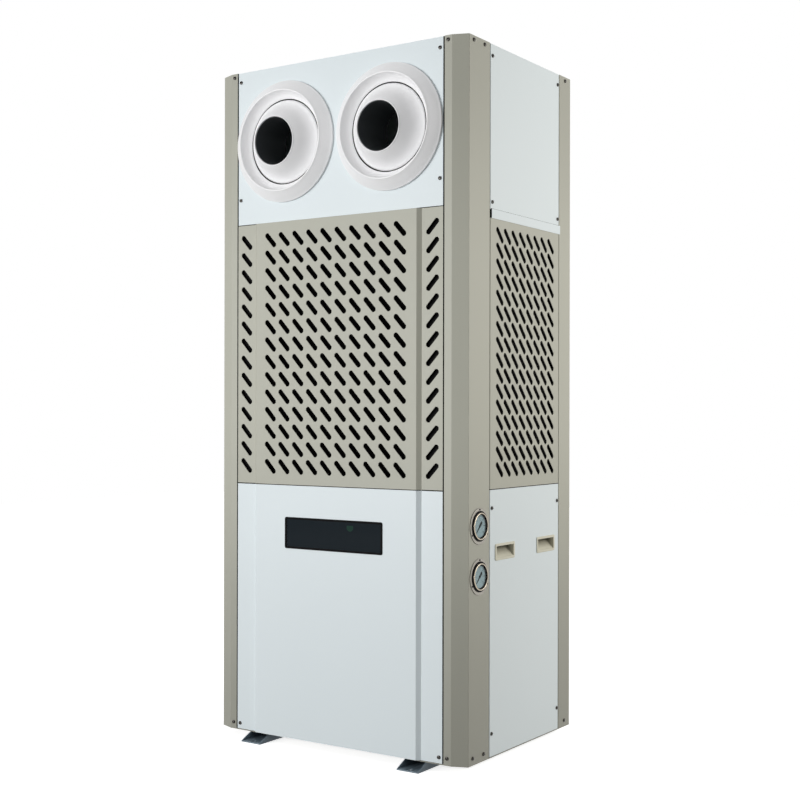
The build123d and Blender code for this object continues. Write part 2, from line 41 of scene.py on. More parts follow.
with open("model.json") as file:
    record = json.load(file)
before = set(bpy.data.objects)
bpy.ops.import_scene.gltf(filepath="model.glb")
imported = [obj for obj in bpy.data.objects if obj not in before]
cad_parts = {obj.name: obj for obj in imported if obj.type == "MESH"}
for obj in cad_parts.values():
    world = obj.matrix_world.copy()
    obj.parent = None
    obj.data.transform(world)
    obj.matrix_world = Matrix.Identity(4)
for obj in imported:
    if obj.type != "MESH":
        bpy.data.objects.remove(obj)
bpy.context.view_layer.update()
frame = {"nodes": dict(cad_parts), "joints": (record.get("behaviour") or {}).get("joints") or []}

MM = 0.001
RIGHT_ANGLE = math.radians(90)
NODES = frame["nodes"]
JOINTS = {joint["name"]: Vector(joint["pos_m"]) for joint in frame["joints"]}

# Planes and centres of the solids that the new pieces stand on
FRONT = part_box("front_upper_panel")[0].y
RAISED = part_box("front_lower_panel")[0].y
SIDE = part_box("right_lower_panel")[1].x
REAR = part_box("back_lower_panel")[1].y
BALL = JOINTS["right_jet_tilt"]
GAUGES = {"upper": JOINTS["upper_needle_turn"], "lower": JOINTS["lower_needle_turn"]}
# Joint between a panel and its post, and the crease over the lapped strip of a side panel
PANEL_GAP = 2 * MM
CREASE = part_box("right_upper_panel")[0].z + 21 * MM
# Edges flatter than this are shaded smooth
SMOOTH_ANGLE = math.radians(35)
# Black of the printing on the dials
DIAL_INK = "1b2126"


def linear(code):
    """Turns an sRGB hex colour to linear RGBA."""
    shades = [int(code[i:i + 2], 16) / 255 for i in (0, 2, 4)]
    return (*[s / 12.92 if s <= 0.04045 else ((s + 0.055) / 1.055) ** 2.4 for s in shades], 1.0)


def colour(name, description, code):
    """A colour property with its default as sRGB hex."""
    return FloatVectorProperty(
        name=name, description=description, subtype="COLOR", size=4, min=0.0, max=1.0, default=linear(code),
    )


def number(name, description, default, **kind):
    """A number property, with its unit or subtype where one fits."""
    return FloatProperty(name=name, description=description, default=default, **kind)


def length(name, description, millimetres):
    """A length property with its default in millimetres."""
    return number(name, description, millimetres * MM, unit="LENGTH", min=0.0)


class CabinetSizes(bpy.types.PropertyGroup):
    """Sizes of the pieces that are modelled here."""

    screw_head: length("Screw head", "Width of a pan head screw", 9.4)
    screw_rise: length("Screw rise", "Height of a pan head over its panel", 3.4)
    gauge_screw_head: length("Gauge screw head", "Width of a screw in a gauge flange", 4.6)
    jet_tilt: number("Jet tilt", "Angle that the balls aim down at rest", math.radians(3), subtype="ANGLE")
    seam: length("Ball seam", "Width of the gap round a ball", 3.3)
    soft_edge: length("Soft edge", "Rounding of the moulded edges", 0.9)
    ring_steps: IntProperty(name="Ring steps", description="Faces round a turned piece", default=128, min=24)


class CabinetColours(bpy.types.PropertyGroup):
    """Colours of the finishes."""

    white_paint: colour("White paint", "Powder coat of the panels", "dfe8eb")
    greige_paint: colour("Greige paint", "Powder coat of the posts and grilles", "b2b2a5")
    runner_paint: colour("Runner paint", "Stoved paint of the floor runners", "606e78")
    nozzle_abs: colour("Nozzle ABS", "Moulded jets", "f6f6f7")
    black_plastic: colour("Black plastic", "Display frame, gauge cans and needles", "040405")
    sleeve_plastic: colour("Sleeve plastic", "Throat sleeves of the jets", "54585b")
    rubber: colour("Rubber", "Seals in the joints of the panels", "070708")
    smoked_acrylic: colour("Smoked acrylic", "Display lens", "1e252a")
    handle_abs: colour("Handle ABS", "Moulded pull handles", "ccc9b6")
    dial_enamel: colour("Dial enamel", "Gauge dial", "abbbc2")
    flange_steel: colour("Flange steel", "Gauge flanges", "827f79")
    bezel_steel: colour("Bezel steel", "Gauge bezels", "a39a8b")
    screw_steel: colour("Screw steel", "Blackened screws", "3a3836")
    filter_nylon: colour("Filter nylon", "Screens behind the grilles", "0b0c0d")


class CabinetStage(bpy.types.PropertyGroup):
    """Camera, lamps and floor."""

    lens: number("Lens", "Focal length on a 36 mm sensor", 59.63, unit="CAMERA")
    camera_place: FloatVectorProperty(
        name="Camera place", description="Camera position", subtype="TRANSLATION",
        default=(2.0438, -3.016, 0.8811),
    )
    camera_turn: number("Camera turn", "Camera heading", math.radians(33.932), subtype="ANGLE")
    camera_roll: number("Camera roll", "Camera roll", math.radians(-0.108), subtype="ANGLE")
    camera_rise: number("Camera rise", "Lens shift upwards", 0.0148)
    left_lamp: number("Left lamp", "Softbox left of the camera", 273, unit="POWER")
    right_lamp: number("Right lamp", "Softbox on the right, a little behind", 77, unit="POWER")
    ambient: number("Ambient", "Strength of the room's own light", 0.305)
    floor_size: length("Floor size", "Side of the floor", 16000)


def node(tree, kind, feeds=None, **settings):
    """Adds a node, sets it and feeds its sockets with values or with other nodes' outputs."""
    new = tree.nodes.new(kind)
    for key, value in settings.items():
        setattr(new, key, value)
    for socket, value in (feeds or {}).items():
        if isinstance(value, bpy.types.NodeSocket):
            tree.links.new(value, new.inputs[socket])
        else:
            new.inputs[socket].default_value = value
    return new


def finish(name, build):
    """The material of that name, made once, with the shader that build adds from the place on the part."""
    made = bpy.data.materials.get(name)
    if not made:
        made = bpy.data.materials.new(name)
        made.use_nodes = True
        tree = made.node_tree
        tree.nodes.clear()
        place = node(tree, "ShaderNodeTexCoord").outputs["Object"]
        node(tree, "ShaderNodeOutputMaterial", {"Surface": build(tree, place).outputs[0]})
        if not place.is_linked:
            tree.nodes.remove(place.node)
    return made


def seen_directly(tree):
    """A socket that is 1 for camera, glossy and transmission rays, which see the background white."""
    path = node(tree, "ShaderNodeLightPath").outputs
    seen = path["Is Camera Ray"]
    for kind in ("Is Glossy Ray", "Is Transmission Ray"):
        seen = node(tree, "ShaderNodeMath", {0: seen, 1: path[kind]}, operation="MAXIMUM").outputs[0]
    return seen


def uneven(tree, place, width, low, high):
    """A socket whose value wanders between two levels, in patches of that width."""
    patches = node(tree, "ShaderNodeTexNoise", {"Vector": place, "Scale": 1 / width, "Detail": 2.0})
    levels = node(tree, "ShaderNodeMapRange", {
        "Value": patches.outputs["Fac"], "To Min": low, "To Max": high,
    })
    return levels.outputs["Result"]


def palette():
    """The colours of the finishes."""
    return bpy.context.scene.cabinet_colours


def sizes():
    """The sizes of the modelled pieces."""
    return bpy.context.scene.cabinet_sizes


# foot and head are how strongly the painted shade darkens the lowest and the uppermost parts
def powder_coat(name, base, roughness, cloud, foot, head):
    # Polyester powder, sprayed and baked on sheet steel: a satin skin with a faint orange peel that softens
    # reflections, and a cloudy change of shade across a panel. Painted shade darkens the lowest 900 mm,
    # unevenly, and the uppermost 500 mm, where the light falls off toward the floor and the top. Peel cells
    # are about 1 mm; they are drawn 3 mm wide to show.
    def build(tree, place):
        unevenness = 0.12
        # Heights in metres: the painted shade at the foot is full at the first and gone at the second; at the
        # top it starts at the first and is full at the second
        foot_shade_low, foot_shade_high = 0.06, 0.96
        head_shade_low, head_shade_high = 1.3, 1.8
        peel = node(tree, "ShaderNodeTexNoise", {"Vector": place, "Scale": 1 / (3 * MM), "Detail": 2.0})
        drift = node(tree, "ShaderNodeTexNoise", {"Vector": place, "Scale": 1 / (320 * MM), "Detail": 3.0})
        shade = node(tree, "ShaderNodeMix", {
            "Factor": drift.outputs["Fac"],
            "A": (*[c * (1 - cloud) for c in base[:3]], 1.0),
            "B": (*[min(1.0, c * (1 + cloud)) for c in base[:3]], 1.0),
        }, data_type="RGBA")
        height = node(tree, "ShaderNodeSeparateXYZ", {"Vector": place}).outputs["Z"]
        wander = node(tree, "ShaderNodeMath", {
            0: drift.outputs["Fac"], 1: unevenness, 2: height,
        }, operation="MULTIPLY_ADD").outputs[0]
        # Painted shade toward the floor, where the light falls off
        dust = node(tree, "ShaderNodeMapRange", {
            "Value": wander, "From Min": foot_shade_low, "From Max": foot_shade_high, "To Min": foot, "To Max": 0.0,
        }, interpolation_type="SMOOTHSTEP")
        # Painted shade toward the top, where the light falls off
        head_shade = node(tree, "ShaderNodeMapRange", {
            "Value": wander, "From Min": head_shade_low, "From Max": head_shade_high, "To Min": 0.0, "To Max": head,
        }, interpolation_type="SMOOTHSTEP")
        end_shade = node(tree, "ShaderNodeMath", {
            0: dust.outputs["Result"], 1: head_shade.outputs["Result"],
        }, operation="ADD")
        # The painted shade of both ends, mixed into the paint's colour
        end_shaded = node(tree, "ShaderNodeMix", {
            "Factor": end_shade.outputs[0], "A": shade.outputs["Result"], "B": linear("3a3833"),
        }, data_type="RGBA")
        bump = node(tree, "ShaderNodeBump", {
            "Height": peel.outputs["Fac"], "Strength": 0.25, "Distance": 0.08 * MM,
        })
        return node(tree, "ShaderNodeBsdfPrincipled", {
            "Base Color": end_shaded.outputs["Result"], "Roughness": roughness, "IOR": 1.5,
            "Specular IOR Level": 0.4, "Normal": bump.outputs["Normal"],
        })

    return finish(name, build)


def white_powder_coat():
    base = palette().white_paint
    return powder_coat("powder_coat_white", base, roughness=0.42, cloud=0.012, foot=0.06, head=0.0)


def greige_powder_coat():
    base = palette().greige_paint
    return powder_coat("powder_coat_greige", base, roughness=0.48, cloud=0.02, foot=0.42, head=0.17)


def stoved_runner_paint():
    # Stoving enamel on folded steel: dark and fairly glossy, with dust and scuffs that dull it.
    def build(tree, place):
        dust = node(tree, "ShaderNodeTexNoise", {"Vector": place, "Scale": 1 / (14 * MM), "Detail": 6.0})
        dull = node(tree, "ShaderNodeMapRange", {
            "Value": dust.outputs["Fac"], "From Min": 0.35, "From Max": 0.75, "To Min": 0.28, "To Max": 0.55,
        })
        return node(tree, "ShaderNodeBsdfPrincipled", {
            "Base Color": palette().runner_paint, "Metallic": 0.25, "Roughness": dull.outputs["Result"],
        })

    return finish("stoved_enamel_runner", build)


def moulded_plastic(name, base, roughness, level):
    # Injection moulded ABS or polypropylene: an even colour with a soft gloss, and a very fine spark-eroded
    # grain. The grain is about 0.1 mm; it is drawn 1.2 mm wide to show.
    def build(tree, place):
        grain = node(tree, "ShaderNodeTexNoise", {"Vector": place, "Scale": 1 / (1.2 * MM), "Detail": 3.0})
        bump = node(tree, "ShaderNodeBump", {
            "Height": grain.outputs["Fac"], "Strength": 0.12, "Distance": 0.05 * MM,
        })
        return node(tree, "ShaderNodeBsdfPrincipled", {
            "Base Color": base, "Roughness": roughness, "IOR": 1.53, "Specular IOR Level": level,
            "Normal": bump.outputs["Normal"],
        })

    return finish(name, build)


def nozzle_abs():
    return moulded_plastic("abs_white_moulded", palette().nozzle_abs, roughness=0.42, level=0.6)


def handle_abs():
    # Injection moulded ABS, greige: a soft gloss outside, and painted shade that deepens from 1 to 17 mm into
    # the grip, in blotches about 9 mm wide.
    def build(tree, place):
        recess_shade_start, recess_shade_full = SIDE - 1 * MM, SIDE - 17 * MM
        side = node(tree, "ShaderNodeSeparateXYZ", {"Vector": place}).outputs["X"]
        out = node(tree, "ShaderNodeMath", {0: side}, operation="ABSOLUTE")
        shade_blotch = node(tree, "ShaderNodeTexNoise", {"Vector": place, "Scale": 1 / (9 * MM), "Detail": 4.0})
        reach = node(tree, "ShaderNodeMath", {
            0: shade_blotch.outputs["Fac"], 1: 4 * MM, 2: out.outputs[0],
        }, operation="MULTIPLY_ADD")
        # Painted shade of the recess, full 17 mm into the grip
        recess_shade = node(tree, "ShaderNodeMapRange", {
            "Value": reach.outputs[0], "From Min": recess_shade_full, "From Max": recess_shade_start,
            "To Min": 0.82, "To Max": 0.0,
        })
        # Mixes the painted shade colour into the ABS
        tint = node(tree, "ShaderNodeMix", {
            "Factor": recess_shade.outputs["Result"], "A": palette().handle_abs, "B": linear("332e22"),
        }, data_type="RGBA")
        return node(tree, "ShaderNodeBsdfPrincipled", {
            "Base Color": tint.outputs["Result"], "Roughness": 0.42, "IOR": 1.53,
        })

    return finish("abs_greige_moulded", build)


def black_polypropylene():
    base = palette().black_plastic
    return moulded_plastic("polypropylene_black_moulded", base, roughness=0.5, level=0.04)


def sleeve_polypropylene():
    base = palette().sleeve_plastic
    return moulded_plastic("polypropylene_grey_moulded", base, roughness=0.36, level=0.4)


def seal_rubber():
    # Foamed rubber: a black skin of open cells, about 0.8 mm wide, that gives almost no shine.
    def build(tree, place):
        cells = node(tree, "ShaderNodeTexVoronoi", {"Vector": place, "Scale": 1 / (0.8 * MM)})
        bump = node(tree, "ShaderNodeBump", {
            "Height": cells.outputs["Distance"], "Strength": 0.4, "Distance": 0.2 * MM,
        })
        return node(tree, "ShaderNodeBsdfPrincipled", {
            "Base Color": palette().rubber, "Roughness": 0.9, "Specular IOR Level": 0.1,
            "Normal": bump.outputs["Normal"],
        })

    return finish("rubber_foamed_black", build)


def smoked_acrylic():
    # Cast acrylic with a smoke tint: a deep, smooth black mirror, through which the green window of the
    # remote control's receiver just shows, 21 mm wide, flat at its head and round at its foot.
    def build(tree, place):
        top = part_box("display_lens")[1].z
        eye = Vector((55 * MM, 0.0, top - 12.5 * MM))
        eye_top = top - 8 * MM
        flat = node(tree, "ShaderNodeVectorMath", {0: place, 1: (1.0, 0.0, 1.0)}, operation="MULTIPLY")
        away = node(tree, "ShaderNodeVectorMath", {0: flat.outputs["Vector"], 1: eye}, operation="DISTANCE")
        disc = node(tree, "ShaderNodeMapRange", {
            "Value": away.outputs["Value"], "From Min": 10 * MM, "From Max": 11 * MM,
            "To Min": 1.0, "To Max": 0.0,
        })
        height = node(tree, "ShaderNodeSeparateXYZ", {"Vector": place}).outputs["Z"]
        below = node(tree, "ShaderNodeMath", {0: height, 1: eye_top}, operation="LESS_THAN")
        spot = node(tree, "ShaderNodeMath", {
            0: disc.outputs["Result"], 1: below.outputs[0],
        }, operation="MULTIPLY")
        tint = node(tree, "ShaderNodeMix", {
            "Factor": spot.outputs[0], "A": palette().smoked_acrylic, "B": linear("243c34"),
        }, data_type="RGBA")
        return node(tree, "ShaderNodeBsdfPrincipled", {
            "Base Color": tint.outputs["Result"], "Roughness": 0.09, "IOR": 1.49, "Specular IOR Level": 0.02,
        })

    return finish("acrylic_smoked_cast", build)


def stainless(name, base, roughness):
    # Stainless steel sheet, brushed or polished: a warm grey metal, with a fine grain that breaks up the
    # highlights. The grain is about 0.05 mm; it is drawn 0.8 mm wide to show.
    def build(tree, place):
        rough = uneven(tree, place, 0.8 * MM, roughness * 0.8, roughness * 1.2)
        return node(tree, "ShaderNodeBsdfPrincipled", {
            "Base Color": base, "Metallic": 1.0, "Roughness": rough,
        })

    return finish(name, build)


def blackened_steel():
    # Steel screws, chemically blackened and oiled: a dark metal, a little cloudy from the bath.
    def build(tree, place):
        rough = uneven(tree, place, 2 * MM, 0.1, 0.2)
        return node(tree, "ShaderNodeBsdfPrincipled", {
            "Base Color": palette().screw_steel, "Metallic": 1.0, "Roughness": rough,
        })

    return finish("blackened_steel", build)


def printed_dial(which):
    # Aluminium dial with stoved pale enamel and screen-printed scales: matt, with a black outer scale of 40
    # divisions to the turn and a brown inner one of 24, both open at the foot.
    def build(tree, place):
        centred = node(tree, "ShaderNodeVectorMath", {0: place, 1: GAUGES[which]}, operation="SUBTRACT")
        flat = node(tree, "ShaderNodeVectorMath", {
            0: centred.outputs[0], 1: (0.0, 1.0, 1.0),
        }, operation="MULTIPLY").outputs[0]
        radius = node(tree, "ShaderNodeVectorMath", {0: flat}, operation="LENGTH").outputs["Value"]
        split = node(tree, "ShaderNodeSeparateXYZ", {"Vector": flat}).outputs
        turn = node(tree, "ShaderNodeMath", {0: split["Z"], 1: split["Y"]}, operation="ARCTAN2").outputs[0]
        across = node(tree, "ShaderNodeMath", {0: split["Y"]}, operation="ABSOLUTE")
        foot = node(tree, "ShaderNodeMath", {0: across.outputs[0], 1: split["Z"]}, operation="ADD")
        scale_open = node(tree, "ShaderNodeMath", {
            0: foot.outputs[0], 1: -1 * MM,
        }, operation="GREATER_THAN").outputs[0]

        # Divisions of a full turn, half a line's share of a division, middle radius and half length in mm
        scales = ((40, 0.14, 24.6, 1.4), (8, 0.06, 23.4, 2.6), (24, 0.14, 14.4, 1.0))
        inks = []
        for steps, share, middle, half in scales:
            wave = node(tree, "ShaderNodeMath", {0: turn, 1: steps / math.tau}, operation="MULTIPLY")
            fold = node(tree, "ShaderNodeMath", {0: wave.outputs[0], 1: 0.5}, operation="PINGPONG")
            line = node(tree, "ShaderNodeMath", {0: fold.outputs[0], 1: share}, operation="LESS_THAN")
            band = node(tree, "ShaderNodeMath", {
                0: radius, 1: middle * MM, 2: half * MM,
            }, operation="COMPARE").outputs[0]
            ink = line.outputs[0]
            for limit in (band, scale_open):
                ink = node(tree, "ShaderNodeMath", {0: ink, 1: limit}, operation="MULTIPLY").outputs[0]
            inks.append(ink)
        black = node(tree, "ShaderNodeMath", {0: inks[0], 1: inks[1]}, operation="MAXIMUM")
        face = node(tree, "ShaderNodeMix", {
            "Factor": black.outputs[0], "A": palette().dial_enamel, "B": linear(DIAL_INK),
        }, data_type="RGBA")
        printed = node(tree, "ShaderNodeMix", {
            "Factor": inks[2], "A": face.outputs["Result"], "B": linear("7a4a35"),
        }, data_type="RGBA")
        return node(tree, "ShaderNodeBsdfPrincipled", {
            "Base Color": printed.outputs["Result"], "Roughness": 0.6,
        })

    return finish("enamel_dial_" + which, build)


def printing_ink():
    # Screen-printing ink: a thin matt film with slightly uneven cover.
    def build(tree, place):
        rough = uneven(tree, place, 0.6 * MM, 0.5, 0.7)
        return node(tree, "ShaderNodeBsdfPrincipled", {"Base Color": linear(DIAL_INK), "Roughness": rough})

    return finish("printing_ink_black", build)


def gauge_glass():
    # Float glass: clear, with sharp reflections; light passes it on its way to the dial.
    def build(tree, place):
        clear = node(tree, "ShaderNodeBsdfTransparent", {"Color": linear("f4f8f8")})
        shine = node(tree, "ShaderNodeBsdfGlossy", {"Roughness": 0.03})
        return node(tree, "ShaderNodeMixShader", {
            0: 0.02, 1: clear.outputs["BSDF"], 2: shine.outputs["BSDF"],
        })

    return finish("float_glass_clear", build)


def nylon_filter():
    # Woven nylon monofilament: a near-black screen of slightly shiny threads; its black also paints the shade
    # of the cabinet seen through the slots. Threads are about 0.6 mm apart; they are drawn 3 mm apart to show.
    def build(tree, place):
        # A wave texture of scale 1 has a band every 0.314 m
        threads = 0.314 / (3 * MM)
        waves = [
            node(tree, "ShaderNodeTexWave", {"Vector": place, "Scale": threads}, bands_direction=axis)
            for axis in ("DIAGONAL", "Z")
        ]
        weave = node(tree, "ShaderNodeMath", {
            0: waves[0].outputs["Fac"], 1: waves[1].outputs["Fac"],
        }, operation="MULTIPLY").outputs[0]
        tint = node(tree, "ShaderNodeMix", {
            "Factor": weave, "A": linear("020202"), "B": palette().filter_nylon,
        }, data_type="RGBA")
        bump = node(tree, "ShaderNodeBump", {"Height": weave, "Distance": 0.4 * MM, "Strength": 0.6})
        return node(tree, "ShaderNodeBsdfPrincipled", {
            "Base Color": tint.outputs["Result"], "Roughness": 0.6, "Specular IOR Level": 0.05,
            "Normal": bump.outputs["Normal"],
        })

    return finish("nylon_filter_woven", build)


def studio_floor():
    # Matt floor paint: white to the camera and in reflections, but for the cabinet's soft shadow.
    def build(tree, place):
        seen = seen_directly(tree)
        tone = node(tree, "ShaderNodeMix", {
            "Factor": seen, "A": linear("888888"), "B": linear("f2f2f2"),
        }, data_type="RGBA")
        matt = node(tree, "ShaderNodeBsdfDiffuse", {"Color": tone.outputs["Result"]})
        glow = node(tree, "ShaderNodeEmission", {"Strength": 0.78})
        lit = node(tree, "ShaderNodeAddShader", {0: matt.outputs[0], 1: glow.outputs[0]})
        return node(tree, "ShaderNodeMixShader", {0: seen, 1: matt.outputs[0], 2: lit.outputs[0]})

    return finish("studio_floor_pale", build)


def paint(material, *names):
    """Gives CAD nodes their finish."""
    for name in names:
        mesh = NODES[name].data
        mesh.materials.clear()
        mesh.materials.append(material)


def alone(piece):
    """Selects one object and makes it active."""
    bpy.ops.object.select_all(action="DESELECT")
    piece.hide_set(False)
    piece.select_set(True)
    bpy.context.view_layer.objects.active = piece
    return piece


def turned(name, rings, steps, closed=True):
    """Turns a profile of (radius, height) points about Z, ring by ring from a circle."""
    bpy.ops.object.select_all(action="DESELECT")
    radius, height = rings[0]
    bpy.ops.mesh.primitive_circle_add(vertices=steps, radius=radius)
    piece = bpy.context.object
    piece.name = piece.data.name = name
    bpy.ops.object.mode_set(mode="EDIT")
    bpy.ops.transform.translate(value=(0, 0, height))
    for (r0, h0), (r1, h1) in zip(rings, rings[1:] + (rings[:1] if closed else [])):
        bpy.ops.mesh.extrude_edges_move(TRANSFORM_OT_translate={"value": (0, 0, h1 - h0)})
        bpy.ops.transform.resize(value=(r1 / r0, r1 / r0, 1), center_override=(0, 0, h1))
    bpy.ops.mesh.select_all(action="SELECT")
    bpy.ops.mesh.remove_doubles(threshold=1e-6)
    bpy.ops.mesh.normals_make_consistent(inside=False)
    bpy.ops.object.mode_set(mode="OBJECT")
    bpy.ops.object.shade_smooth_by_angle(angle=SMOOTH_ANGLE)
    return piece


def capped(piece):
    """Closes the open rings of a turned piece."""
    alone(piece)
    bpy.ops.object.mode_set(mode="EDIT")
    bpy.ops.mesh.select_all(action="DESELECT")
    bpy.ops.mesh.select_mode(type="EDGE")
    bpy.ops.mesh.select_non_manifold()
    bpy.ops.mesh.edge_face_add()
    bpy.ops.mesh.select_all(action="SELECT")
    bpy.ops.mesh.normals_make_consistent(inside=False)
    bpy.ops.mesh.select_mode(type="VERT")
    bpy.ops.object.mode_set(mode="OBJECT")
    return piece


def arc(centre, radius, start, end, steps):
    """Profile points on an arc, with angles in degrees."""
    turns = [math.radians(start + (end - start) * i / steps) for i in range(steps + 1)]
    return [(centre[0] + radius * math.cos(a), centre[1] + radius * math.sin(a)) for a in turns]


def bow(start, end, sag, steps):
    """Profile points on a shallow bow that bulges to the right of its chord."""
    run = Vector(end) - Vector(start)
    side = Vector((run.y, -run.x)).normalized() * sag
    shares = [i / steps for i in range(steps + 1)]
    return [tuple(Vector(start) + run * s + side * 4 * s * (1 - s)) for s in shares]


def flow(start, end, lean_in, lean_out, steps):
    """Profile points on a smooth curve that leaves and arrives at the given slopes, in degrees."""
    start, end = Vector(start), Vector(end)
    run = (end - start).length
    slopes = (math.radians(lean_in), math.radians(lean_out))
    leave, arrive = (Vector((math.cos(a), math.sin(a))) * run for a in slopes)
    points = []
    for i in range(steps + 1):
        s = i / steps
        blend = s * s * (3 - 2 * s)
        points.append(tuple(
            start * (1 - blend) + end * blend + leave * s * (1 - s) ** 2 - arrive * s * s * (1 - s)))
    return points


def metres(points):
    """Profile points in millimetres, turned to metres."""
    return [(r * MM, h * MM) for r, h in points]


def placed(piece, place, turn=(0.0, 0.0, 0.0)):
    """Moves and turns a piece and applies both to its mesh."""
    alone(piece)
    piece.location = place
    piece.rotation_euler = turn
    bpy.ops.object.transform_apply(location=True, rotation=True, scale=True)
    return piece


def copied(piece, name):
    """Copies a piece with a mesh of its own."""
    alone(piece)
    bpy.ops.object.duplicate(linked=False)
    copy = bpy.context.object
    copy.name = copy.data.name = name
    return copy


def joined(name, pieces):
    """Joins pieces into one."""
    bpy.ops.object.select_all(action="DESELECT")
    for piece in pieces:
        piece.select_set(True)
    bpy.context.view_layer.objects.active = pieces[0]
    bpy.ops.object.join()
    whole = bpy.context.object
    whole.name = whole.data.name = name
    return whole


def settled(piece, material, body="cabinet", replaces=()):
    """Gives a piece its finish and its body, and hides the nodes that it stands for."""
    piece.data.materials.clear()
    piece.data.materials.append(material)
    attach(piece, body)
    if replaces:
        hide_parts(*replaces)
    return piece


def block(place, size, turn=0.0):
    """Adds a box of that size about a place, turned about Z."""
    bpy.ops.object.select_all(action="DESELECT")
    bpy.ops.mesh.primitive_cube_add(size=1, location=place, rotation=(0, 0, turn))
    piece = bpy.context.object
    piece.scale = size
    bpy.ops.object.transform_apply(location=True, rotation=True, scale=True)
    return piece


def jet_pair(name, profile, place, aim=0.0):
    """Turns a piece of the right jet, aims it forward and copies it to the left jet."""
    right = turned("right_" + name, metres(profile), sizes().ring_steps)
    placed(right, place, (RIGHT_ANGLE + aim, 0, 0))
    left = placed(copied(right, "left_" + name), (-2 * BALL.x, 0, 0))
    return {"right": right, "left": left}


def rounded(piece, width):
    """Rounds the sharp edges of the active piece."""
    rounding = piece.modifiers.new("rounding", "BEVEL")
    rounding.width = width
    rounding.segments = 3
    rounding.limit_method = "ANGLE"
    rounding.angle_limit = math.radians(50)
    bpy.ops.object.modifier_apply(modifier=rounding.name)
    bpy.ops.object.shade_smooth_by_angle(angle=SMOOTH_ANGLE)
    return piece


def softened(source, name, width):
    """A merged copy of a CAD node with its sharp edges rounded."""
    piece = bpy.data.objects.new(name, NODES[source].data.copy())
    bpy.context.scene.collection.objects.link(piece)
    alone(piece)
    bpy.ops.mesh.customdata_custom_splitnormals_clear()
    bpy.ops.object.mode_set(mode="EDIT")
    bpy.ops.mesh.select_all(action="SELECT")
    bpy.ops.mesh.remove_doubles(threshold=1e-5)
    bpy.ops.mesh.dissolve_limited(angle_limit=math.radians(1))
    bpy.ops.object.mode_set(mode="OBJECT")
    return rounded(piece, width)


class CABINET_OT_sheet_metal(bpy.types.Operator):
    """Finishes the posts, panels, base and roof"""

    bl_idname = "cabinet.sheet_metal"
    bl_label = "Sheet metal"

    def execute(self, context):
        for side in ("front", "right", "left", "back"):
            paint(white_powder_coat(), side + "_upper_panel", side + "_lower_panel")
        paint(
            greige_powder_coat(), "front_left_post", "front_right_post", "rear_left_post", "rear_right_post",
            "base_tray", "roof_cover", "back_middle_panel",
        )
        return {"FINISHED"}


class CABINET_OT_grilles(bpy.types.Operator):
    """Finishes the slotted grilles and the filters behind them"""

    bl_idname = "cabinet.grilles"
    bl_label = "Grilles and filters"

    def execute(self, context):
        paint(greige_powder_coat(), "front_grille", "right_grille", "left_grille")
        paint(nylon_filter(), "front_filter", "right_filter", "left_filter")
        return {"FINISHED"}


class CABINET_OT_runners(bpy.types.Operator):
    """Finishes the floor runners"""

    bl_idname = "cabinet.runners"
    bl_label = "Runners"

    def execute(self, context):
        fold_radius = 0.8 * MM
        for source in ("left_runner", "right_runner"):
            piece = softened(source, source + "_pressing", fold_radius)
            settled(piece, stoved_runner_paint(), replaces=[source])
        return {"FINISHED"}


class CABINET_OT_nozzle_housings(bpy.types.Operator):
    """Turns the flared housings of the two jets"""

    bl_idname = "cabinet.nozzle_housings"
    bl_label = "Nozzle housings"

    def execute(self, context):
        # Outlines are radius and height over the panel, in millimetres; the ball's middle is behind the panel
        ball_at_panel = 109.26
        ball_middle = (0, -52)
        seat = ball_at_panel + sizes().seam / MM
        housing = [(157, 0), (159.6, 0), (160, 0.5), (160, 5.2)]
        housing += arc((158.6, 5.2), 1.4, 10, 42, 3)
        housing += bow((158.9, 6.5), (135.1, 27.2), 0.5, 5)
        housing += arc((132.6, 26.2), 2.6, 40, 165, 7)
        housing += bow((130.0, 26.4), (seat + 0.5, 1.2), -3.0, 8)
        housing += [(seat, 0.2), (seat - 0.1, -1.2)]
        housing += arc(ball_middle, 122.3, 21.8, -10, 6)
        housing += arc(ball_middle, 124.5, -10, 18, 5)
        housing += [(131.4, 20), (133.4, 22), (157, 2.4)]
        mouth = (BALL.x, FRONT, BALL.z)
        for side, piece in jet_pair("housing_moulding", housing, mouth).items():
            settled(piece, nozzle_abs(), replaces=[side + "_nozzle_housing"])

        # Black rubber wiper ring in the seam, clear of the ball, which also paints the seam's shade all round
        wiper_and_shade = [(110.0, -0.5), (seat - 0.05, -0.3), (seat + 0.3, -3.6), (seat - 0.4, -4.0), (111.3, -2.4)]
        for piece in jet_pair("wiper_and_shade_ring", wiper_and_shade, mouth).values():
            settled(piece, seal_rubber())
        return {"FINISHED"}


class CABINET_OT_nozzle_balls(bpy.types.Operator):
    """Turns the trumpet balls and their throat sleeves"""

    bl_idname = "cabinet.nozzle_balls"
    bl_label = "Nozzle balls"

    def execute(self, context):
        # Outlines are radius and height over the middle of the ball, in millimetres
        middle = (0, 0)
        outside, inside = 121, 118
        trumpet = arc((64, 100.2), 1.5, 180, 0, 6)
        trumpet += flow((65.5, 99.4), (108.6, 53.2), -42, -32, 18)
        trumpet += arc(middle, outside, 25.2, -25.4, 16)
        trumpet += [(106.3, -51.2)]
        trumpet += arc(middle, inside, -24, 24.5, 12)
        trumpet += flow((105.5, 51.0), (62.5, 97.0), 148, 138, 12)
        sleeve = [
            (62.25, 98.4), (62.25, -23.0), (62.0, -23.3), (60.0, -23.3), (59.75, -23.0), (59.75, 60.0),
            (61.2, 90.0), (61.4, 98.6), (61.9, 98.8),
        ]
        for part, profile, material, slot in (
            ("ball", trumpet, nozzle_abs(), "white_plastic"),
            ("sleeve", sleeve, sleeve_polypropylene(), "black_plastic"),
        ):
            for side, piece in jet_pair(part + "_moulding", profile, BALL, sizes().jet_tilt).items():
                settled(piece, material, side + "_jet", [side + "_nozzle_" + part])
        return {"FINISHED"}


